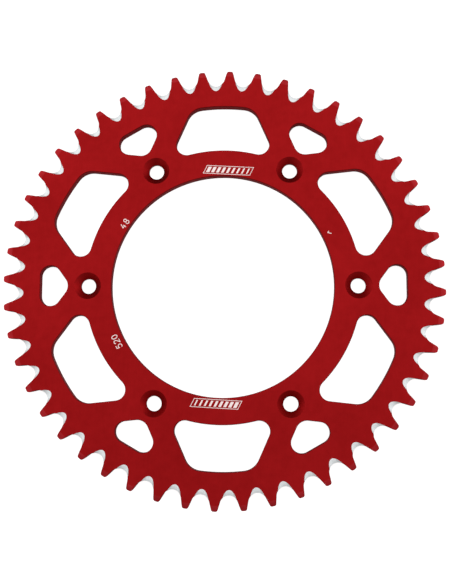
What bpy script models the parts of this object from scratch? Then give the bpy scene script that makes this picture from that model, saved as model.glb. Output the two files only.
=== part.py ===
"""Rear chain sprocket for a motocross motorcycle: 48 teeth for 520 chain, six countersunk bolt holes.

The real thing is cut from one aluminium plate, so the model is one solid.
Frame: the origin is the centre of the bore on the back (hub) face, +Z runs along the wheel's axis
to the outer, countersunk face, and one bolt hole lies on +X. Units are metres.
"""

import math

import bmesh
import bpy
from mathutils import Matrix, Vector

MM = 0.001

# Plate
THICKNESS = 5.8 * MM
BORE_RADIUS = 63.0 * MM
EDGE_BREAK = 0.5 * MM

# Chain and teeth
TEETH = 48
CHAIN_PITCH = 15.875 * MM
PITCH_RADIUS = CHAIN_PITCH / (2 * math.sin(math.pi / TEETH))
SEAT_RADIUS = 5.13 * MM
SEAT_HALF_ANGLE = math.radians(71.2)
TIP_RADIUS = 125.1 * MM
TIP_CORNER = 0.65 * MM
FIRST_GAP_ANGLE = math.radians(360 / TEETH / 4)
TIP_CHAMFER_START = 121.8 * MM
TIP_CHAMFER_DEPTH = 1.2 * MM

# Mud relief in the outer face at each tooth root: a round groove that slopes down outwards into the gap,
# set a little anticlockwise of the gap's middle
RELIEF_START = 113.2 * MM
RELIEF_SLOPE = math.radians(23)
RELIEF_RADIUS = 5.0 * MM
RELIEF_TURN = math.radians(0.15)
RELIEF_RUN_ON = 1.5 * MM

# Bolt holes
BOLT_HOLES = 6
BOLT_CIRCLE_RADIUS = 76.5 * MM
BOLT_HOLE_RADIUS = 4.25 * MM
SINK_RADIUS = 7.6 * MM

# Large windows, midway between the bolt holes
LARGE_OUTER_RADIUS = 103.8 * MM
LARGE_INNER_RADIUS = 78.0 * MM
LARGE_SIDE_ANGLE = math.radians(23.9)
LARGE_SIDE_DISTANCE = 57.9 * MM
LARGE_OUTER_FILLET = 10.1 * MM
LARGE_INNER_FILLET = 6.0 * MM

# Small windows, outside the bolt holes
SMALL_OUTER_EDGE = 103.7 * MM
SMALL_CORNER_RADIUS = 5.9 * MM
SMALL_CORNER_OFFSET = 5.6 * MM
SMALL_POINT_CENTRE = 94.2 * MM
SMALL_POINT_RADIUS = 6.3 * MM

# Facets
BORE_SIDES = 96
HOLE_SIDES = 20
SEAT_STEPS = 8
FILLET_STEPS = 5
LARGE_ARC_STEPS = 8
RELIEF_SIDES = 20
OVERRUN = 0.5 * MM


def clear_scene():
    for obj in list(bpy.data.objects):
        bpy.data.objects.remove(obj, do_unlink=True)


def arc(centre, radius, start, end, steps):
    """Points on an arc from one angle to another, both ends included."""
    angles = [start + (end - start) * i / steps for i in range(steps + 1)]
    return [(centre[0] + radius * math.cos(a), centre[1] + radius * math.sin(a)) for a in angles]


def turned(points, angle):
    """The points turned about the origin."""
    c, s = math.cos(angle), math.sin(angle)
    return [(x * c - y * s, x * s + y * c) for x, y in points]


def mirrored(points):
    """The points mirrored across the X axis, in reverse order, so that the outline runs on."""
    return [(x, -y) for x, y in reversed(points)]


def tooth_gap():
    """One tooth gap whose middle lies on +X, from the tip before it to the tip after it, anticlockwise."""
    seat = arc((PITCH_RADIUS, 0), SEAT_RADIUS, math.pi, math.pi - SEAT_HALF_ANGLE, SEAT_STEPS // 2)
    foot_x, foot_y = seat[-1]
    # The flank leaves the seat along its tangent and runs straight to the tip circle.
    run_x, run_y = math.sin(SEAT_HALF_ANGLE), math.cos(SEAT_HALF_ANGLE)
    along = foot_x * run_x + foot_y * run_y
    reach = -along + math.sqrt(along**2 - foot_x**2 - foot_y**2 + TIP_RADIUS**2)
    shoulder = (foot_x + (reach - TIP_CORNER) * run_x, foot_y + (reach - TIP_CORNER) * run_y)
    corner_angle = math.atan2(foot_y + reach * run_y, foot_x + reach * run_x)
    land_angle = corner_angle + TIP_CORNER / TIP_RADIUS
    land = (TIP_RADIUS * math.cos(land_angle), TIP_RADIUS * math.sin(land_angle))
    upper = seat + [shoulder, land]
    return mirrored(upper[1:]) + upper


def tooth_outline():
    outline = []
    for index in range(TEETH):
        outline += turned(tooth_gap(), FIRST_GAP_ANGLE + 2 * math.pi * index / TEETH)
    return outline


def large_window(grow):
    """A large window centred on +X, grown outwards all round: two arcs about the bore and two straight
    sides that lean in, with rounded corners."""
    side = LARGE_SIDE_DISTANCE + grow
    outer_fillet = LARGE_OUTER_FILLET + grow
    inner_fillet = LARGE_INNER_FILLET + grow
    outer_reach = LARGE_OUTER_RADIUS - LARGE_OUTER_FILLET
    inner_reach = LARGE_INNER_RADIUS + LARGE_INNER_FILLET
    # The side's outward normal stands at side_normal, and each fillet's centre is set back from the side.
    side_normal = math.pi / 2 - LARGE_SIDE_ANGLE
    outer_turn = side_normal - math.acos((side - outer_fillet) / outer_reach)
    inner_turn = side_normal - math.acos((side - inner_fillet) / inner_reach)
    outer_centre = (outer_reach * math.cos(outer_turn), outer_reach * math.sin(outer_turn))
    inner_centre = (inner_reach * math.cos(inner_turn), inner_reach * math.sin(inner_turn))
    inner_radius = LARGE_INNER_RADIUS - grow
    half = (
        arc((0, 0), LARGE_OUTER_RADIUS + grow, 0, outer_turn, LARGE_ARC_STEPS // 2)[:-1]
        + arc(outer_centre, outer_fillet, outer_turn, side_normal, FILLET_STEPS)
        + arc(inner_centre, inner_fillet, side_normal, math.pi + inner_turn, FILLET_STEPS)
        + arc((0, 0), inner_radius, inner_turn, 0, LARGE_ARC_STEPS // 2)[1:]
    )
    return half + mirrored(half)[1:-1]


def small_window(grow):
    """A small window centred on +X, grown outwards all round: the hull of two corner circles and of
    the point circle nearer the bore."""
    corner = SMALL_CORNER_RADIUS + grow
    point = SMALL_POINT_RADIUS + grow
    corner_centre = (SMALL_OUTER_EDGE - SMALL_CORNER_RADIUS, SMALL_CORNER_OFFSET)
    across = corner_centre[0] - SMALL_POINT_CENTRE
    span = math.hypot(across, SMALL_CORNER_OFFSET)
    lean = math.atan2(SMALL_CORNER_OFFSET, across)
    tangent = lean + math.acos((SMALL_POINT_RADIUS - SMALL_CORNER_RADIUS) / span)
    half = arc(corner_centre, corner, 0, tangent, FILLET_STEPS) + arc(
        (SMALL_POINT_CENTRE, 0), point, tangent, math.pi, FILLET_STEPS // 2
    )
    return half + mirrored(half)[1:]


def circle(radius, sides):
    return arc((0, 0), radius, 0, 2 * math.pi, sides)[:-1]


def add_loft(bm, sections):
    """A closed solid through outlines of equal length, given as (height, points) from bottom to top."""
    rings = [[bm.verts.new((x, y, z)) for x, y in points] for z, points in sections]
    count = len(rings[0])
    for lower, upper in zip(rings, rings[1:]):
        for i in range(count):
            j = (i + 1) % count
            bm.faces.new((lower[i], lower[j], upper[j], upper[i]))
    bm.faces.new(list(reversed(rings[0])))
    bm.faces.new(rings[-1])


def add_ring(bm, profile):
    """A closed ring about Z with a flat side for each tooth. profile holds (radius, height) points, and
    the radii are met at the middle of each side."""
    rings = []
    for index in range(TEETH):
        angle = FIRST_GAP_ANGLE + 2 * math.pi * index / TEETH
        c, s = [value / math.cos(math.pi / TEETH) for value in (math.cos(angle), math.sin(angle))]
        rings.append([bm.verts.new((r * c, r * s, z)) for r, z in profile])
    for here, after in zip(rings, rings[1:] + rings[:1]):
        for i in range(len(profile)):
            j = (i + 1) % len(profile)
            bm.faces.new((here[i], after[i], after[j], here[j]))


def new_object(name, bm):
    bmesh.ops.recalc_face_normals(bm, faces=bm.faces[:])
    mesh = bpy.data.meshes.new(name)
    bm.to_mesh(mesh)
    bm.free()
    obj = bpy.data.objects.new(name, mesh)
    bpy.context.scene.collection.objects.link(obj)
    return obj


def cutter(name, bm):
    obj = new_object(name, bm)
    obj.hide_render = True
    obj.display_type = "WIRE"
    return obj


def through_sections(outline):
    """The heights and outlines of a cut right through the plate, with both of its edges broken."""
    flare = EDGE_BREAK + OVERRUN
    return [
        (-OVERRUN, outline(flare)),
        (EDGE_BREAK, outline(0)),
        (THICKNESS - EDGE_BREAK, outline(0)),
        (THICKNESS + OVERRUN, outline(flare)),
    ]


def add_around(bm, sections, first_angle):
    """Six copies of a loft, a sixth of a turn apart."""
    for index in range(BOLT_HOLES):
        angle = first_angle + 2 * math.pi * index / BOLT_HOLES
        add_loft(bm, [(z, turned(points, angle)) for z, points in sections])


def window_cutter():
    bm = bmesh.new()
    add_around(bm, through_sections(large_window), math.pi / BOLT_HOLES)
    add_around(bm, through_sections(small_window), 0)
    return cutter("window_cutter", bm)


def bore_cutter():
    bm = bmesh.new()
    add_loft(bm, through_sections(lambda grow: circle(BORE_RADIUS + grow, BORE_SIDES)))
    return cutter("bore_cutter", bm)


def bolt_hole_cutter():
    """Six through holes with a 90 degree countersink in the outer face."""

    def hole(radius):
        return [(x + BOLT_CIRCLE_RADIUS, y) for x, y in circle(radius, HOLE_SIDES)]

    flare = EDGE_BREAK + OVERRUN
    sink_floor = THICKNESS - (SINK_RADIUS - BOLT_HOLE_RADIUS)
    bm = bmesh.new()
    sections = [
        (-OVERRUN, hole(BOLT_HOLE_RADIUS + flare)),
        (EDGE_BREAK, hole(BOLT_HOLE_RADIUS)),
        (sink_floor, hole(BOLT_HOLE_RADIUS)),
        (THICKNESS + OVERRUN, hole(SINK_RADIUS + OVERRUN)),
    ]
    add_around(bm, sections, 0)
    return cutter("bolt_hole_cutter", bm)


def tip_chamfer_cutter():
    """Two turned rings that thin the tooth tips on both faces."""
    slope = TIP_CHAMFER_DEPTH / (TIP_RADIUS - TIP_CHAMFER_START)
    inner = TIP_CHAMFER_START - OVERRUN
    outer = TIP_RADIUS + 2 * OVERRUN
    rise = slope * (inner - TIP_CHAMFER_START)
    fall = slope * (outer - TIP_CHAMFER_START)
    clear = 4 * OVERRUN
    back = [(inner, rise), (inner, -clear), (outer, -clear), (outer, fall)]
    bm = bmesh.new()
    add_ring(bm, back)
    add_ring(bm, [(radius, THICKNESS - height) for radius, height in back])
    return cutter("tip_chamfer_cutter", bm)


def relief_cutter():
    """A rod at each tooth gap, sloping down outwards, whose lowest line enters the face at RELIEF_START."""
    outward = Vector((math.cos(RELIEF_SLOPE), 0, -math.sin(RELIEF_SLOPE)))
    upward = Vector((math.sin(RELIEF_SLOPE), 0, math.cos(RELIEF_SLOPE)))
    entry = Vector((RELIEF_START, 0, THICKNESS)) + upward * RELIEF_RADIUS
    length = (TIP_RADIUS + RELIEF_RUN_ON - RELIEF_START) / outward.x
    bm = bmesh.new()
    for index in range(TEETH):
        turn = Matrix.Rotation(FIRST_GAP_ANGLE + RELIEF_TURN + 2 * math.pi * index / TEETH, 3, "Z")
        rings = []
        for centre in (entry - outward * RELIEF_RUN_ON, entry + outward * length):
            ring = [centre + upward * z + Vector((0, y, 0)) for y, z in circle(RELIEF_RADIUS, RELIEF_SIDES)]
            rings.append([bm.verts.new(turn @ point) for point in ring])
        near, far = rings
        for i in range(RELIEF_SIDES):
            j = (i + 1) % RELIEF_SIDES
            bm.faces.new((near[i], near[j], far[j], far[i]))
        bm.faces.new(near)
        bm.faces.new(far)
    return cutter("relief_cutter", bm)


def red_anodised():
    material = bpy.data.materials.new("red_anodised_aluminium")
    material.use_nodes = True
    shader = material.node_tree.nodes["Principled BSDF"]
    shader.inputs["Base Color"].default_value = (0.34, 0.008, 0.009, 1)
    shader.inputs["Metallic"].default_value = 0.6
    shader.inputs["Roughness"].default_value = 0.42
    return material


def cut(obj, tools):
    """Cuts the tools out of the object, applies the cuts and removes the tools."""
    for tool in tools:
        modifier = obj.modifiers.new(tool.name, "BOOLEAN")
        modifier.operation = "DIFFERENCE"
        modifier.solver = "EXACT"
        modifier.object = tool
    graph = bpy.context.evaluated_depsgraph_get()
    finished = bpy.data.meshes.new_from_object(obj.evaluated_get(graph))
    obj.modifiers.clear()
    obj.data = finished
    for tool in tools:
        bpy.data.objects.remove(tool, do_unlink=True)


def sprocket_plate():
    bm = bmesh.new()
    outline = tooth_outline()
    add_loft(bm, [(0, outline), (THICKNESS, outline)])
    plate = new_object("sprocket_plate", bm)
    tools = (
        bore_cutter(),
        window_cutter(),
        bolt_hole_cutter(),
        tip_chamfer_cutter(),
        relief_cutter(),
    )
    cut(plate, tools)
    plate.data.name = "sprocket_plate"
    plate.data.materials.clear()
    plate.data.materials.append(red_anodised())
    plate.data.shade_smooth()
    plate.data.set_sharp_from_angle(angle=math.radians(25))
    return plate


clear_scene()
sprocket_plate()
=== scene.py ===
"""Looks of the rear sprocket: the finely faceted plate, its etched marks, the studio and the camera.

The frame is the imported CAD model: the bore's axis is Z, the outer face looks up, one bolt hole is on +X.
"""

import math

import bmesh
import bpy
from mathutils import Matrix, Vector


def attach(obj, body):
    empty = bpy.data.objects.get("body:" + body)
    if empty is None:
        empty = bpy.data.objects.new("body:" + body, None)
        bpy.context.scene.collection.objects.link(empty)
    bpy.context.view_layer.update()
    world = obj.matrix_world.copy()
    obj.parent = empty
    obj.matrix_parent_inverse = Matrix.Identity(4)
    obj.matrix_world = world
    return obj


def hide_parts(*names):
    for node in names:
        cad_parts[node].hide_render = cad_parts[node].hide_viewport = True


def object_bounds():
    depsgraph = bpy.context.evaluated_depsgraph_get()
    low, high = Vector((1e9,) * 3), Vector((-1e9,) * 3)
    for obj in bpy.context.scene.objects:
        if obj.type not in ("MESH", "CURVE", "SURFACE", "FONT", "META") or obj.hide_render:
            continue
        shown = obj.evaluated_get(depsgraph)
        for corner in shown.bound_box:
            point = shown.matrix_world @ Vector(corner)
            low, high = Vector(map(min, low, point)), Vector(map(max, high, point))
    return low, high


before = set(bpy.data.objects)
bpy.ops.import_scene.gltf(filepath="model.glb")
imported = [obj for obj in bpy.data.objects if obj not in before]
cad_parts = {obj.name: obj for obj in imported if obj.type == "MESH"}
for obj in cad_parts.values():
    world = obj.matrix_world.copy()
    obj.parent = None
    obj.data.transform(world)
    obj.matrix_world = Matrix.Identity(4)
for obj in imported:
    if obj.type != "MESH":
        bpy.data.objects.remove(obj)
cad_low, cad_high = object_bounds()

MM = 0.001

# Plate, as in the CAD model
THICKNESS = cad_high.z - cad_low.z
BORE_RADIUS = 63.0 * MM
EDGE_BREAK = 0.5 * MM
TEETH = 48
CHAIN_PITCH = 15.875 * MM
PITCH_RADIUS = CHAIN_PITCH / (2 * math.sin(math.pi / TEETH))
SEAT_RADIUS = 5.13 * MM
SEAT_HALF_ANGLE = math.radians(71.2)
TIP_RADIUS = 125.1 * MM
FIRST_GAP_ANGLE = math.radians(360 / TEETH / 4)
TIP_CHAMFER_START = 121.8 * MM
TIP_CHAMFER_DEPTH = 1.2 * MM
RELIEF_START = 113.2 * MM
RELIEF_SLOPE = math.radians(23)
RELIEF_RADIUS = 5.0 * MM
RELIEF_TURN = math.radians(0.15)
RELIEF_RUN_ON = 1.5 * MM
BOLT_HOLES = 6
BOLT_CIRCLE_RADIUS = 76.5 * MM
BOLT_HOLE_RADIUS = 4.25 * MM
SINK_RADIUS = 7.6 * MM
LARGE_OUTER_RADIUS = 103.8 * MM
LARGE_INNER_RADIUS = 78.0 * MM
LARGE_SIDE_ANGLE = math.radians(23.9)
LARGE_SIDE_DISTANCE = 57.9 * MM
LARGE_OUTER_FILLET = 10.1 * MM
LARGE_INNER_FILLET = 6.0 * MM
SMALL_OUTER_EDGE = 103.7 * MM
SMALL_CORNER_RADIUS = 5.9 * MM
SMALL_CORNER_OFFSET = 5.6 * MM
SMALL_POINT_CENTRE = 94.2 * MM
SMALL_POINT_RADIUS = 6.3 * MM

# Finish of the tooth edges
TIP_FILLET = 1.2 * MM
TOOTH_EDGE_BREAK = 0.3 * MM

# How far a cutter reaches past the faces it cuts
OVERRUN = 0.3 * MM

# Facets
BORE_SIDES = 288
HOLE_SIDES = 72
SEAT_STEPS = 20
TIP_STEPS = 5
FILLET_STEPS = 14
LARGE_ARC_STEPS = 24
RELIEF_SIDES = 56
EDGE_STEPS = 4
OVAL_STEPS = 20
SURROUND_SIDES = 8
SMOOTH_ANGLE = math.radians(28)
WELD_DISTANCE = 0.002 * MM

# Etched marks
MARK_RADIUS = 67.2 * MM
MARK_DEPTH = 0.06 * MM
MARK_RECESS = 0.02 * MM
MARK_SPAN = (THICKNESS - MARK_DEPTH, THICKNESS + OVERRUN)
MARK_STROKE = 0.42 * MM
MITRE_LIMIT = 0.4
DIGIT_HEIGHT = 3.3 * MM
DIGIT_WIDTH = 1.9 * MM
TEETH_MARK_ANGLE = math.radians(147.5)
TEETH_MARK_DROP = 1.0 * MM
TEETH_MARK_PITCH = 3.3 * MM
CHAIN_MARK_ANGLE = math.radians(208.1)
CHAIN_MARK_PITCH = 2.85 * MM
TICK_MARK_ANGLE = math.radians(26.4)
TICK_LINE = [(-0.9 * MM, 0.2 * MM), (-0.2 * MM, -0.7 * MM), (1.1 * MM, 1.0 * MM)]
EMBLEM_ANGLE = math.radians(86.8)
EMBLEM_DROP = 0.9 * MM
EMBLEM_LENGTH = 26.5 * MM
EMBLEM_HEIGHT = 4.6 * MM
EMBLEM_SLANT = math.radians(24)
EMBLEM_BARS = 9
EMBLEM_STROKE = 0.32 * MM
BAR_MARGIN = 2.2 * EMBLEM_STROKE
BAR_HALF_SHARE = 0.34
BAR_THINNING = 0.025

# Colours, linear. Each metal varies between its dark and its light one.
DYE_DARK = (0.285, 0.0060, 0.0070, 1)
DYE_LIGHT = (0.395, 0.0096, 0.0115, 1)
# Painted shade: a deep red laid over the plate's rounded edges, which darkens them
EDGE_PAINTED_SHADE = (0.09, 0.003, 0.004, 1)
# Painted highlight: a pale pink laid over the tooth tips, most on their chamfers and rounded edges, which
# lightens them
TIP_PAINTED_HIGHLIGHT = (0.75, 0.12, 0.15, 1)
DYE_GLANCING_TINT = (0.9, 0.75, 0.77, 1)
BARE_DARK = (0.80, 0.83, 0.84, 1)
BARE_LIGHT = (0.88, 0.91, 0.92, 1)
ETCHED_DARK = (1.0, 0.82, 0.80, 1)
ETCHED_LIGHT = (1.0, 0.92, 0.90, 1)
CUT_METALLIC = 0.8

# Surface of the metals
SATIN = (0.36, 0.46)
SMOOTHER_SATIN = (0.31, 0.39)
BLASTED_DEPTH = 0.006 * MM
CUTTER_DEPTH = 0.008 * MM
FROST_DEPTH = 0.01 * MM
NOISE_MIDDLE = (0.25, 0.75)

# Z of the normal: a wall turns into an edge over the first range, and a flat face over the second
WALL_TO_EDGE = (0.15, 0.4)
FACE_TO_EDGE = (0.985, 0.9)

# Studio
FLOOR_SIZE = 6.0
FLOOR_GREY = (0.5, 0.5, 0.5, 1)
FLOOR_ROUGHNESS = 0.9
FLOOR_GLOW = 0.86
FLOOR_GAP = 0.2 * MM
WHITE = (1, 1, 1, 1)

# Light tent: (height, brightness) pairs, the height going from 0 at the horizon to 1 straight up
SIDE_LIGHT = [(0.0, 0.6), (0.2, 1.0), (0.45, 0.8), (0.6, 1.3), (0.8, 0.76), (1.0, 0.68)]
BACK_LIGHT = [(0.0, 0.15), (0.2, 0.29), (0.38, 0.24), (0.5, 0.42), (0.7, 0.7), (1.0, 0.68)]
FRONT_LIGHT = [(0.0, 0.4), (0.2, 0.55), (0.57, 0.29), (0.68, 0.67), (0.8, 0.72), (1.0, 0.68)]
LIGHT_LEVEL = 1.25
LIGHT_SLOPE = 0.9
LIGHT_SLOPE_LIMIT = 0.3
LIGHT_SHARE_BLUR = 0.02

# Camera, from the middle of the outer face
CAMERA_PLACE = Vector((23.5, -59.6, 489.1)) * MM
CAMERA_AIM = Vector((2.1, -3.8, 0.0)) * MM
CAMERA_ROLL = math.radians(-0.15)
CAMERA_LENS = 54.0
CAMERA_SENSOR = 36.0
CAMERA_CLIP = (0.01, 20.0)


# ---------------------------------------------------------------- outlines


def arc(centre, radius, start, end, steps):
    """Points on an arc from one angle to another, both ends included."""
    angles = [start + (end - start) * i / steps for i in range(steps + 1)]
    return [(centre[0] + radius * math.cos(a), centre[1] + radius * math.sin(a)) for a in angles]


def turned(points, angle):
    """The points turned about the origin."""
    c, s = math.cos(angle), math.sin(angle)
    return [(x * c - y * s, x * s + y * c) for x, y in points]


def mirrored(points):
    """The points mirrored across the X axis, in reverse order, so that the outline runs on."""
    return [(x, -y) for x, y in reversed(points)]


def tooth_gap(grow):
    """One tooth gap whose middle lies on +X, grown into the teeth beside it, with rounded tooth tips."""
    seat_end = math.pi - SEAT_HALF_ANGLE
    seat = arc((PITCH_RADIUS, 0), SEAT_RADIUS + grow, math.pi, seat_end, SEAT_STEPS // 2)
    # The tip's fillet touches the flank, whose normal into the tooth is (-cos, sin) of the half angle.
    set_in = SEAT_RADIUS + TIP_FILLET
    normal = (-math.cos(SEAT_HALF_ANGLE), math.sin(SEAT_HALF_ANGLE))
    run = (math.sin(SEAT_HALF_ANGLE), math.cos(SEAT_HALF_ANGLE))
    start = (PITCH_RADIUS + set_in * normal[0], set_in * normal[1])
    along = start[0] * run[0] + start[1] * run[1]
    reach_radius = TIP_RADIUS - TIP_FILLET
    reach = -along + math.sqrt(along**2 - start[0] ** 2 - start[1] ** 2 + reach_radius**2)
    centre = (start[0] + reach * run[0], start[1] + reach * run[1])
    top = math.atan2(centre[1], centre[0])
    upper = seat + arc(centre, TIP_FILLET - grow, -SEAT_HALF_ANGLE, top, TIP_STEPS)
    return mirrored(upper[1:]) + upper


def tooth_outline(grow):
    outline = []
    for index in range(TEETH):
        outline += turned(tooth_gap(grow), FIRST_GAP_ANGLE + 2 * math.pi * index / TEETH)
    return outline


def large_window(grow):
    """A large window centred on +X: two arcs about the bore and two straight sides that lean in."""
    side = LARGE_SIDE_DISTANCE + grow
    outer_fillet = LARGE_OUTER_FILLET + grow
    inner_fillet = LARGE_INNER_FILLET + grow
    outer_reach = LARGE_OUTER_RADIUS - LARGE_OUTER_FILLET
    inner_reach = LARGE_INNER_RADIUS + LARGE_INNER_FILLET
    side_normal = math.pi / 2 - LARGE_SIDE_ANGLE
    outer_turn = side_normal - math.acos((side - outer_fillet) / outer_reach)
    inner_turn = side_normal - math.acos((side - inner_fillet) / inner_reach)
    outer_centre = (outer_reach * math.cos(outer_turn), outer_reach * math.sin(outer_turn))
    inner_centre = (inner_reach * math.cos(inner_turn), inner_reach * math.sin(inner_turn))
    inner_radius = LARGE_INNER_RADIUS - grow
    half = (
        arc((0, 0), LARGE_OUTER_RADIUS + grow, 0, outer_turn, LARGE_ARC_STEPS // 2)[:-1]
        + arc(outer_centre, outer_fillet, outer_turn, side_normal, FILLET_STEPS)
        + arc(inner_centre, inner_fillet, side_normal, math.pi + inner_turn, FILLET_STEPS)
        + arc((0, 0), inner_radius, inner_turn, 0, LARGE_ARC_STEPS // 2)[1:]
    )
    return half + mirrored(half)[1:-1]


def small_window(grow):
    """A small window centred on +X: the hull of two corner circles and of a point circle."""
    corner = SMALL_CORNER_RADIUS + grow
    point = SMALL_POINT_RADIUS + grow
    corner_centre = (SMALL_OUTER_EDGE - SMALL_CORNER_RADIUS, SMALL_CORNER_OFFSET)
    across = corner_centre[0] - SMALL_POINT_CENTRE
    span = math.hypot(across, SMALL_CORNER_OFFSET)
    lean = math.atan2(SMALL_CORNER_OFFSET, across)
    tangent = lean + math.acos((SMALL_POINT_RADIUS - SMALL_CORNER_RADIUS) / span)
    half = arc(corner_centre, corner, 0, tangent, FILLET_STEPS)
    half += arc((SMALL_POINT_CENTRE, 0), point, tangent, math.pi, FILLET_STEPS // 2)
    return half + mirrored(half)[1:]


def circle(radius, sides):
    return arc((0, 0), radius, 0, 2 * math.pi, sides)[:-1]


# ---------------------------------------------------------------- solids


def add_skin(bm, rings, closed=False):
    """A solid's faces from ring to ring. Closed rings end where they began, others get a cap at each end."""
    count = len(rings[0])
    for here, after in zip(rings, rings[1:] + (rings[:1] if closed else [])):
        for i in range(count):
            j = (i + 1) % count
            bm.faces.new((here[i], here[j], after[j], after[i]))
    if not closed:
        bm.faces.new(list(reversed(rings[0])))
        bm.faces.new(rings[-1])


def add_loft(bm, sections):
    """A closed solid through outlines of equal length, given as (height, points) from bottom to top."""
    add_skin(bm, [[bm.verts.new((x, y, z)) for x, y in points] for z, points in sections])


def add_ring(bm, profile):
    """A closed ring turned about Z. profile holds (radius, height) points."""
    rings = []
    for index in range(BORE_SIDES):
        angle = 2 * math.pi * index / BORE_SIDES
        c, s = math.cos(angle), math.sin(angle)
        rings.append([bm.verts.new((r * c, r * s, z)) for r, z in profile])
    add_skin(bm, rings, closed=True)


def new_object(name, bm, material):
    bmesh.ops.recalc_face_normals(bm, faces=bm.faces[:])
    mesh = bpy.data.meshes.new(name)
    bm.to_mesh(mesh)
    bm.free()
    mesh.materials.append(material)
    obj = bpy.data.objects.new(name, mesh)
    bpy.context.scene.collection.objects.link(obj)
    return obj


def rounded_edge(radius):
    """(distance grown, depth) points of a quarter round, from the face down to the wall."""
    turns = [math.pi / 2 * i / EDGE_STEPS for i in range(EDGE_STEPS + 1)]
    return [(radius * (1 - math.sin(t)), radius * (1 - math.cos(t))) for t in turns]


def through_sections(outline):
    """The heights and outlines of a cut right through the plate, with both of its edges rounded."""
    edge = rounded_edge(EDGE_BREAK)
    # Past each face the cut goes on widening as it does over the edge's first facet.
    run_on = (edge[0][0] - edge[1][0]) / (edge[1][1] - edge[0][1])
    back = [(-OVERRUN, outline(EDGE_BREAK + run_on * OVERRUN))]
    back += [(depth, outline(grow)) for grow, depth in edge[1:]]
    return back + [(THICKNESS - z, points) for z, points in reversed(back)]


def add_around(bm, sections, first_angle):
    """Six copies of a loft, a sixth of a turn apart."""
    for index in range(BOLT_HOLES):
        angle = first_angle + 2 * math.pi * index / BOLT_HOLES
        add_loft(bm, [(z, turned(points, angle)) for z, points in sections])


def window_cutter(material):
    bm = bmesh.new()
    add_around(bm, through_sections(large_window), math.pi / BOLT_HOLES)
    add_around(bm, through_sections(small_window), 0)
    return new_object("window_cutter", bm, material)


def bore_cutter(material):
    bm = bmesh.new()
    add_loft(bm, through_sections(lambda grow: circle(BORE_RADIUS + grow, BORE_SIDES)))
    return new_object("bore_cutter", bm, material)


def bolt_hole_cutter(material):
    """Six through holes with a 90 degree countersink in the outer face."""

    def hole(radius):
        return [(x + BOLT_CIRCLE_RADIUS, y) for x, y in circle(radius, HOLE_SIDES)]

    flare = EDGE_BREAK + OVERRUN
    sink_floor = THICKNESS - (SINK_RADIUS - BOLT_HOLE_RADIUS)
    bm = bmesh.new()
    sections = [
        (-OVERRUN, hole(BOLT_HOLE_RADIUS + flare)),
        (EDGE_BREAK, hole(BOLT_HOLE_RADIUS)),
        (sink_floor, hole(BOLT_HOLE_RADIUS)),
        (THICKNESS + OVERRUN, hole(SINK_RADIUS + OVERRUN)),
    ]
    add_around(bm, sections, 0)
    return new_object("bolt_hole_cutter", bm, material)


def tip_chamfer_cutter(material):
    """Two turned rings that thin the tooth tips on both faces."""
    slope = TIP_CHAMFER_DEPTH / (TIP_RADIUS - TIP_CHAMFER_START)
    inner = TIP_CHAMFER_START - OVERRUN
    outer = TIP_RADIUS + 2 * OVERRUN
    rise = slope * (inner - TIP_CHAMFER_START)
    fall = slope * (outer - TIP_CHAMFER_START)
    clear = 4 * OVERRUN
    back = [(inner, rise), (inner, -clear), (outer, -clear), (outer, fall)]
    bm = bmesh.new()
    add_ring(bm, back)
    add_ring(bm, [(radius, THICKNESS - height) for radius, height in back])
    return new_object("tip_chamfer_cutter", bm, material)


def relief_cutter(material):
    """A rod at each tooth gap, sloping down outwards, whose lowest line enters the face at RELIEF_START."""
    outward = Vector((math.cos(RELIEF_SLOPE), 0, -math.sin(RELIEF_SLOPE)))
    upward = Vector((math.sin(RELIEF_SLOPE), 0, math.cos(RELIEF_SLOPE)))
    entry = Vector((RELIEF_START, 0, THICKNESS)) + upward * RELIEF_RADIUS
    length = (TIP_RADIUS + RELIEF_RUN_ON - RELIEF_START) / outward.x
    bm = bmesh.new()
    for index in range(TEETH):
        turn = Matrix.Rotation(FIRST_GAP_ANGLE + RELIEF_TURN + 2 * math.pi * index / TEETH, 3, "Z")
        rings = []
        for centre in (entry - outward * RELIEF_RUN_ON, entry + outward * length):
            ring = [centre + upward * z + Vector((0, y, 0)) for y, z in circle(RELIEF_RADIUS, RELIEF_SIDES)]
            rings.append([bm.verts.new(turn @ point) for point in ring])
        add_skin(bm, rings)
    return new_object("relief_cutter", bm, material)


def cut(obj, tools, operation="DIFFERENCE"):
    """Cuts with the tools, applies the cuts and removes the tools. Each cut takes its tool's material."""
    for tool in tools:
        modifier = obj.modifiers.new(tool.name, "BOOLEAN")
        modifier.operation = operation
        modifier.solver = "EXACT"
        modifier.material_mode = "TRANSFER"
        modifier.use_self = tool.name.endswith("_strokes")
        modifier.object = tool
    graph = bpy.context.evaluated_depsgraph_get()
    finished = bpy.data.meshes.new_from_object(obj.evaluated_get(graph))
    obj.modifiers.clear()
    obj.data = finished
    for tool in tools:
        bpy.data.objects.remove(tool, do_unlink=True)


def weld(obj):
    """Joins corners that lie closer than WELD_DISTANCE, and drops faces with no area and folded pairs."""
    bm = bmesh.new()
    bm.from_mesh(obj.data)
    bmesh.ops.remove_doubles(bm, verts=bm.verts[:], dist=WELD_DISTANCE)
    bmesh.ops.dissolve_degenerate(bm, edges=bm.edges[:], dist=WELD_DISTANCE)
    by_corners = {}
    for face in bm.faces:
        by_corners.setdefault(frozenset(face.verts), []).append(face)
    folded = [face for pair in by_corners.values() if len(pair) > 1 for face in pair]
    bmesh.ops.delete(bm, geom=folded, context="FACES")
    bm.to_mesh(obj.data)
    bm.free()


# ---------------------------------------------------------------- etched marks


def placed(points, angle):
    """Points of a mark, whose X runs clockwise round the plate and whose Y points outwards, put in place."""
    c, s = math.cos(angle), math.sin(angle)
    return [((MARK_RADIUS + y) * c + x * s, (MARK_RADIUS + y) * s - x * c) for x, y in points]


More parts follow.
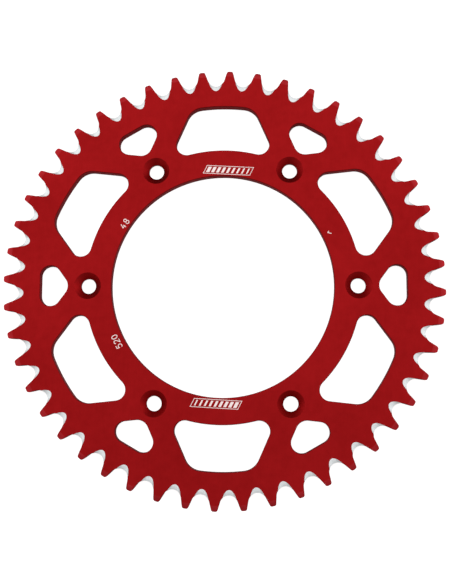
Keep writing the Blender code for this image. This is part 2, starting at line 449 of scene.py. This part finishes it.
def stroke_sides(points, width, closed):
    """The left and right sides of a line of this width, mitred at its bends."""
    count = len(points)
    left, right = [], []
    for i, point in enumerate(points):
        here = Vector(point)
        before = Vector(points[(i - 1) % count]) if closed or i else None
        after = Vector(points[(i + 1) % count]) if closed or i < count - 1 else None
        arriving = (here - before).normalized() if before else (after - here).normalized()
        leaving = (after - here).normalized() if after else arriving
        across = Vector((-arriving.y - leaving.y, arriving.x + leaving.x)).normalized()
        reach = width / 2 / max(MITRE_LIMIT, across.dot(Vector((-leaving.y, leaving.x))))
        left.append(here + across * reach)
        right.append(here - across * reach)
    return left, right


def add_stroke(bm, points, angle, closed=False, width=MARK_STROKE):
    """A line of a mark, as a solid that reaches from the mark's floor to above the face."""
    left, right = [placed(side, angle) for side in stroke_sides(points, width, closed)]
    low, high = MARK_SPAN
    rings = [
        [bm.verts.new((*a, low)), bm.verts.new((*b, low)), bm.verts.new((*b, high)), bm.verts.new((*a, high))]
        for a, b in zip(left, right)
    ]
    add_skin(bm, rings, closed)


def oval(centre, half_width, half_height):
    return [(centre[0] + half_width * x, centre[1] + half_height * y) for x, y in circle(1, OVAL_STEPS)]


def digit_strokes(digit):
    """The strokes of a digit in a box one wide and one high, as (points, closed)."""
    if digit == "4":
        return [([(0.62, 1), (0, 0.32), (1, 0.32)], False), ([(0.74, 0.6), (0.74, 0)], False)]
    if digit == "8":
        return [(oval((0.5, 0.76), 0.42, 0.24), True), (oval((0.5, 0.26), 0.5, 0.26), True)]
    if digit == "5":
        bowl = [(x * 1.1 + 0.4, y * 0.66 + 0.32) for x, y in arc((0, 0), 0.5, 2.3, -2.5, 14)]
        return [([(0.95, 1), (0.12, 1)] + bowl, False)]
    if digit == "2":
        hook = [(x + 0.5, y * 0.62 + 0.7) for x, y in arc((0, 0), 0.48, 2.8, -0.7, 12)]
        return [(hook + [(0, 0), (1, 0)], False)]
    return [(oval((0.5, 0.5), 0.5, 0.5), True)]


def number_strokes(text, angle, pitch, drop=0.0):
    """The strokes of a number, its middle at this angle and dropped towards the bore."""
    bm = bmesh.new()
    for index, digit in enumerate(text):
        shift = (index - (len(text) - 1) / 2) * pitch
        for points, closed in digit_strokes(digit):
            sized = [(shift + (x - 0.5) * DIGIT_WIDTH, (y - 0.5) * DIGIT_HEIGHT - drop) for x, y in points]
            add_stroke(bm, sized, angle, closed)
    return bm


def slanted(x, y):
    return (x + y * math.tan(EMBLEM_SLANT), y)


def emblem_strokes(angle):
    """A plain slanted frame with a row of slanted bars in it."""
    half_length, half_height = EMBLEM_LENGTH / 2, EMBLEM_HEIGHT / 2
    bm = bmesh.new()
    corners = [(-1, -1), (1, -1), (1, 1), (-1, 1)]
    frame_line = [slanted(half_length * x, half_height * y - EMBLEM_DROP) for x, y in corners]
    add_stroke(bm, frame_line, angle, closed=True, width=EMBLEM_STROKE)
    pitch = EMBLEM_LENGTH / (EMBLEM_BARS + 0.5)
    bar_height = half_height - BAR_MARGIN
    for index in range(EMBLEM_BARS):
        middle = (index - (EMBLEM_BARS - 1) / 2) * pitch
        half_bar = pitch * (BAR_HALF_SHARE - BAR_THINNING * index)
        outline = [slanted(middle + half_bar * x, bar_height * y - EMBLEM_DROP) for x, y in corners]
        add_loft(bm, [(z, placed(outline, angle)) for z in MARK_SPAN])
    return bm


def tick_strokes(angle):
    """A small inspector's tick."""
    bm = bmesh.new()
    add_stroke(bm, TICK_LINE, angle)
    return bm


def mark_from(name, strokes, material, pockets):
    """The strokes as one solid. Its full height goes into pockets, and the piece ends just under the face."""
    heights = (THICKNESS - 2 * MARK_DEPTH, THICKNESS + 2 * OVERRUN)
    bm = bmesh.new()
    add_loft(bm, [(z, circle(TIP_RADIUS, SURROUND_SIDES)) for z in heights])
    mark = new_object(name, bm, material)
    cut(mark, [new_object(name + "_strokes", strokes, material)], "INTERSECT")
    weld(mark)
    mark.data.name = name
    pockets.from_mesh(mark.data)
    for vertex in mark.data.vertices:
        vertex.co.z = min(vertex.co.z, THICKNESS - MARK_RECESS)
    return mark


# ---------------------------------------------------------------- materials


class Nodes:
    """A short way to build the nodes of a material or of the world."""

    def __init__(self, owner, shader="Principled BSDF"):
        owner.use_nodes = True
        self.owner = owner
        self.tree = owner.node_tree
        self.shader = self.tree.nodes[shader]

    def add(self, kind, settings=None, **inputs):
        node = self.tree.nodes.new(kind)
        for name, value in (settings or {}).items():
            setattr(node, name, value)
        for name, value in inputs.items():
            self.join(node.inputs[name.replace("_", " ")], value)
        return node

    def join(self, socket, value):
        if isinstance(value, bpy.types.NodeSocket):
            self.tree.links.new(value, socket)
        else:
            socket.default_value = value

    def set(self, **inputs):
        for name, value in inputs.items():
            self.join(self.shader.inputs[name.replace("_", " ")], value)

    def math(self, operation, first, second, clamp=False):
        node = self.add("ShaderNodeMath", {"operation": operation, "use_clamp": clamp})
        self.join(node.inputs[0], first)
        self.join(node.inputs[1], second)
        return node.outputs[0]

    def noise(self, scale, detail=2.0, stretch=(1, 1, 1)):
        """Noise between 0 and 1. scale is the number of features in a metre."""
        place = self.add("ShaderNodeTexCoord").outputs["Object"]
        mapping = self.add("ShaderNodeMapping", Vector=place, Scale=stretch)
        node = self.add("ShaderNodeTexNoise", Vector=mapping.outputs[0], Scale=scale, Detail=detail)
        return node.outputs["Fac"]

    def map(self, value, old, new=(0, 1)):
        """A value moved from one range to another, and kept within it."""
        limits = {"From_Min": old[0], "From_Max": old[1], "To_Min": new[0], "To_Max": new[1]}
        return self.add("ShaderNodeMapRange", Value=value, **limits).outputs[0]

    def spread(self, noise, low, high):
        """Noise spread over a range, with its middle half taken as the whole of it."""
        return self.map(noise, NOISE_MIDDLE, (low, high))

    def mix(self, factor, first, second):
        node = self.add("ShaderNodeMix", {"data_type": "RGBA"})
        self.join(node.inputs[0], factor)
        self.join(node.inputs[6], first)
        self.join(node.inputs[7], second)
        return node.outputs[2]

    def bump(self, height, distance):
        return self.add("ShaderNodeBump", Height=height, Distance=distance, Strength=1.0).outputs[0]


def new_metal(name, metallic=1.0):
    nodes = Nodes(bpy.data.materials.new(name))
    nodes.set(Metallic=metallic)
    return nodes


def edge_share(nodes):
    """1 on rounded edges and chamfers, 0 on flat faces and upright walls. It places the painted edge shade
    and the painted tip highlight.
    """
    upright = nodes.add("ShaderNodeNewGeometry").outputs["True Normal"]
    parts = nodes.add("ShaderNodeSeparateXYZ", Vector=upright)
    lean = nodes.math("ABSOLUTE", parts.outputs["Z"], 0.0)
    return nodes.math("MULTIPLY", nodes.map(lean, WALL_TO_EDGE), nodes.map(lean, FACE_TO_EDGE))


def red_anodised(name, painted_light_colour, shares, roughness=SATIN):
    """Satin red anodised aluminium with a fine blasted grain and faint rolling lines. A painted light colour
    is laid over the dye by two shares: one on flat faces and walls, one on rounded edges and chamfers. It is
    painted shade on the plate and a painted highlight on the tooth tips."""
    nodes = new_metal(name)
    cloud = nodes.noise(24, 3.0)
    mottle = nodes.noise(260, 4.0)
    rolled = nodes.noise(2600, 2.0, (1.0, 0.03, 1.0))
    grain = nodes.noise(5200, 3.0)
    shade = nodes.math("ADD", nodes.spread(cloud, -0.5, 0.5), nodes.spread(mottle, -0.4, 0.4))
    shade = nodes.math("ADD", shade, nodes.spread(rolled, -0.2, 0.2))
    shade = nodes.math("ADD", nodes.math("MULTIPLY", shade, 0.5), 0.5, clamp=True)
    # How much painted shade or painted highlight goes on, by how far the surface leans
    share = nodes.map(edge_share(nodes), (0, 1), shares)
    painted_light_amount = nodes.math("MULTIPLY", share, nodes.spread(mottle, 0.6, 1.4))
    height = nodes.math("ADD", grain, nodes.math("MULTIPLY", rolled, 0.35))
    nodes.set(
        Base_Color=nodes.mix(painted_light_amount, nodes.mix(shade, DYE_DARK, DYE_LIGHT), painted_light_colour),
        Specular_Tint=DYE_GLANCING_TINT,
        Roughness=nodes.math("ADD", nodes.spread(grain, *roughness), nodes.spread(cloud, -0.02, 0.02)),
        Normal=nodes.bump(height, BLASTED_DEPTH),
    )
    return nodes.owner


def bare_aluminium():
    """Aluminium cut after anodising, with the cutter's fine marks across the gap."""
    nodes = new_metal("bare_cut_aluminium", CUT_METALLIC)
    lines = nodes.noise(3600, 2.0, (1, 1, 0.04))
    grain = nodes.noise(6000, 2.0)
    tone = nodes.noise(220, 3.0)
    height = nodes.math("ADD", lines, nodes.math("MULTIPLY", grain, 0.4))
    nodes.set(
        Base_Color=nodes.mix(nodes.spread(tone, 0, 1), BARE_DARK, BARE_LIGHT),
        Roughness=nodes.spread(lines, 0.5, 0.65),
        Normal=nodes.bump(height, CUTTER_DEPTH),
    )
    return nodes.owner


def etched_mark():
    """Frosted aluminium where the dye was burnt off."""
    nodes = new_metal("etched_mark", CUT_METALLIC)
    frost = nodes.noise(7000, 3.0)
    patch = nodes.noise(700, 2.0)
    nodes.set(
        Base_Color=nodes.mix(nodes.spread(patch, 0, 1), ETCHED_DARK, ETCHED_LIGHT),
        Roughness=nodes.spread(frost, 0.5, 0.72),
        Normal=nodes.bump(frost, FROST_DEPTH),
    )
    return nodes.owner


# ---------------------------------------------------------------- pieces


def give(obj):
    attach(obj, "root")


def make_plate(pockets):
    """The plate: toothed blank, then every cut. The reliefs are bare, and all else is red."""
    # Painted shade darkens the plate's rounded edges. The countersinks get none.
    red = red_anodised("red_anodised_aluminium", EDGE_PAINTED_SHADE, (0.0, 0.5))
    red_sink = red_anodised("red_anodised_countersink", EDGE_PAINTED_SHADE, (0.0, 0.0), SMOOTHER_SATIN)
    # Painted highlight lightens the tooth tips, a little on their faces and walls and more on their chamfers.
    red_tip = red_anodised("red_anodised_tooth_tip", TIP_PAINTED_HIGHLIGHT, (0.06, 0.12))
    edge = [(depth, grow) for grow, depth in rounded_edge(TOOTH_EDGE_BREAK)]
    heights = edge + [(THICKNESS - depth, grow) for depth, grow in reversed(edge)]
    bm = bmesh.new()
    add_loft(bm, [(z, tooth_outline(grow)) for z, grow in heights])
    plate = new_object("sprocket_plate_finished", bm, red)
    tools = [
        bore_cutter(red),
        window_cutter(red),
        bolt_hole_cutter(red_sink),
        tip_chamfer_cutter(red_tip),
        relief_cutter(bare_aluminium()),
        new_object("mark_pockets", pockets, red),
    ]
    cut(plate, tools)
    weld(plate)
    plate.data.name = plate.name
    plate.data.shade_smooth()
    plate.data.set_sharp_from_angle(angle=SMOOTH_ANGLE)
    level = plate.modifiers.new("flat_faces_stay_flat", "WEIGHTED_NORMAL")
    level.mode = "FACE_AREA"
    level.weight = 100
    level.keep_sharp = True
    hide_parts("sprocket_plate")
    give(plate)


def make_marks_and_plate():
    etched = etched_mark()
    marks = {
        "tooth_count_mark": number_strokes("48", TEETH_MARK_ANGLE, TEETH_MARK_PITCH, TEETH_MARK_DROP),
        "chain_size_mark": number_strokes("520", CHAIN_MARK_ANGLE, CHAIN_MARK_PITCH),
        "inspection_tick": tick_strokes(TICK_MARK_ANGLE),
        "striped_emblem_top": emblem_strokes(EMBLEM_ANGLE),
        "striped_emblem_bottom": emblem_strokes(EMBLEM_ANGLE + math.pi),
    }
    pockets = bmesh.new()
    for name, strokes in marks.items():
        give(mark_from(name, strokes, etched, pockets))
    make_plate(pockets)


# ---------------------------------------------------------------- studio


def make_floor():
    """A grey floor just under the part. It is lifted to white where the camera sees it."""
    bm = bmesh.new()
    bmesh.ops.create_grid(bm, x_segments=1, y_segments=1, size=FLOOR_SIZE / 2)
    nodes = Nodes(bpy.data.materials.new("studio_floor"))
    seen = nodes.add("ShaderNodeLightPath").outputs["Is Camera Ray"]
    nodes.set(
        Base_Color=FLOOR_GREY,
        Roughness=FLOOR_ROUGHNESS,
        Specular_IOR_Level=0.0,
        Emission_Color=WHITE,
        Emission_Strength=nodes.math("MULTIPLY", seen, FLOOR_GLOW),
    )
    floor = new_object("floor", bm, nodes.owner)
    floor.location.z = cad_low.z - FLOOR_GAP


def light_by_height(nodes, height, stops):
    """Brightness by height above the horizon, from (height, level) pairs."""
    ramp = nodes.add("ShaderNodeValToRGB", Fac=height)
    elements = ramp.color_ramp.elements
    while len(elements) < len(stops):
        elements.new(0.5)
    for element, (position, level) in zip(elements, stops):
        element.position = position
        element.color = (level, level, level, 1)
    return ramp.outputs[0]


def make_light():
    """A light tent with three rows of brightness: one for the sides, left and right, one for the back
    (+Y) and one for the front (-Y). The whole tent is brighter towards the back, where the lamp stands.
    The camera sees it as white."""
    world = bpy.data.worlds.new("studio")
    bpy.context.scene.world = world
    nodes = Nodes(world, "Background")
    direction = nodes.add("ShaderNodeTexCoord").outputs["Generated"]
    x, y, z = nodes.add("ShaderNodeSeparateXYZ", Vector=direction).outputs
    along_x, along_y = nodes.math("MULTIPLY", x, x), nodes.math("MULTIPLY", y, y)
    both = nodes.math("ADD", nodes.math("ADD", along_x, along_y), LIGHT_SHARE_BLUR)
    side_share = nodes.math("DIVIDE", along_x, both)
    sides, back, front = [light_by_height(nodes, z, stops) for stops in (SIDE_LIGHT, BACK_LIGHT, FRONT_LIGHT)]

    def blend(amount, first, second):
        change = nodes.math("SUBTRACT", second, first)
        return nodes.math("ADD", first, nodes.math("MULTIPLY", amount, change))

    ends = blend(nodes.math("GREATER_THAN", y, 0.0), front, back)
    level = blend(side_share, ends, sides)
    lean = nodes.math("MINIMUM", nodes.math("MULTIPLY", y, LIGHT_SLOPE), LIGHT_SLOPE_LIMIT)
    slope = nodes.math("ADD", nodes.math("MAXIMUM", lean, -LIGHT_SLOPE_LIMIT), 1.0)
    level = nodes.math("MULTIPLY", nodes.math("MULTIPLY", level, slope), LIGHT_LEVEL)
    seen = nodes.add("ShaderNodeLightPath").outputs["Is Camera Ray"]
    nodes.set(Color=WHITE, Strength=nodes.math("MAXIMUM", level, seen))


def make_camera():
    data = bpy.data.cameras.new("camera")
    data.sensor_width = CAMERA_SENSOR
    data.lens = CAMERA_LENS
    data.clip_start, data.clip_end = CAMERA_CLIP
    camera = bpy.data.objects.new("camera", data)
    bpy.context.scene.collection.objects.link(camera)
    face = Vector((0, 0, cad_high.z))
    place, aim = CAMERA_PLACE + face, CAMERA_AIM + face
    back = (place - aim).normalized()
    up = Vector((math.sin(CAMERA_ROLL), math.cos(CAMERA_ROLL), 0))
    right = up.cross(back).normalized()
    axes = Matrix((right, back.cross(right), back)).transposed()
    camera.matrix_world = Matrix.Translation(place) @ axes.to_4x4()
    bpy.context.scene.camera = camera


make_marks_and_plate()
make_floor()
make_light()
make_camera()
bpy.context.scene.view_settings.view_transform = "Standard"
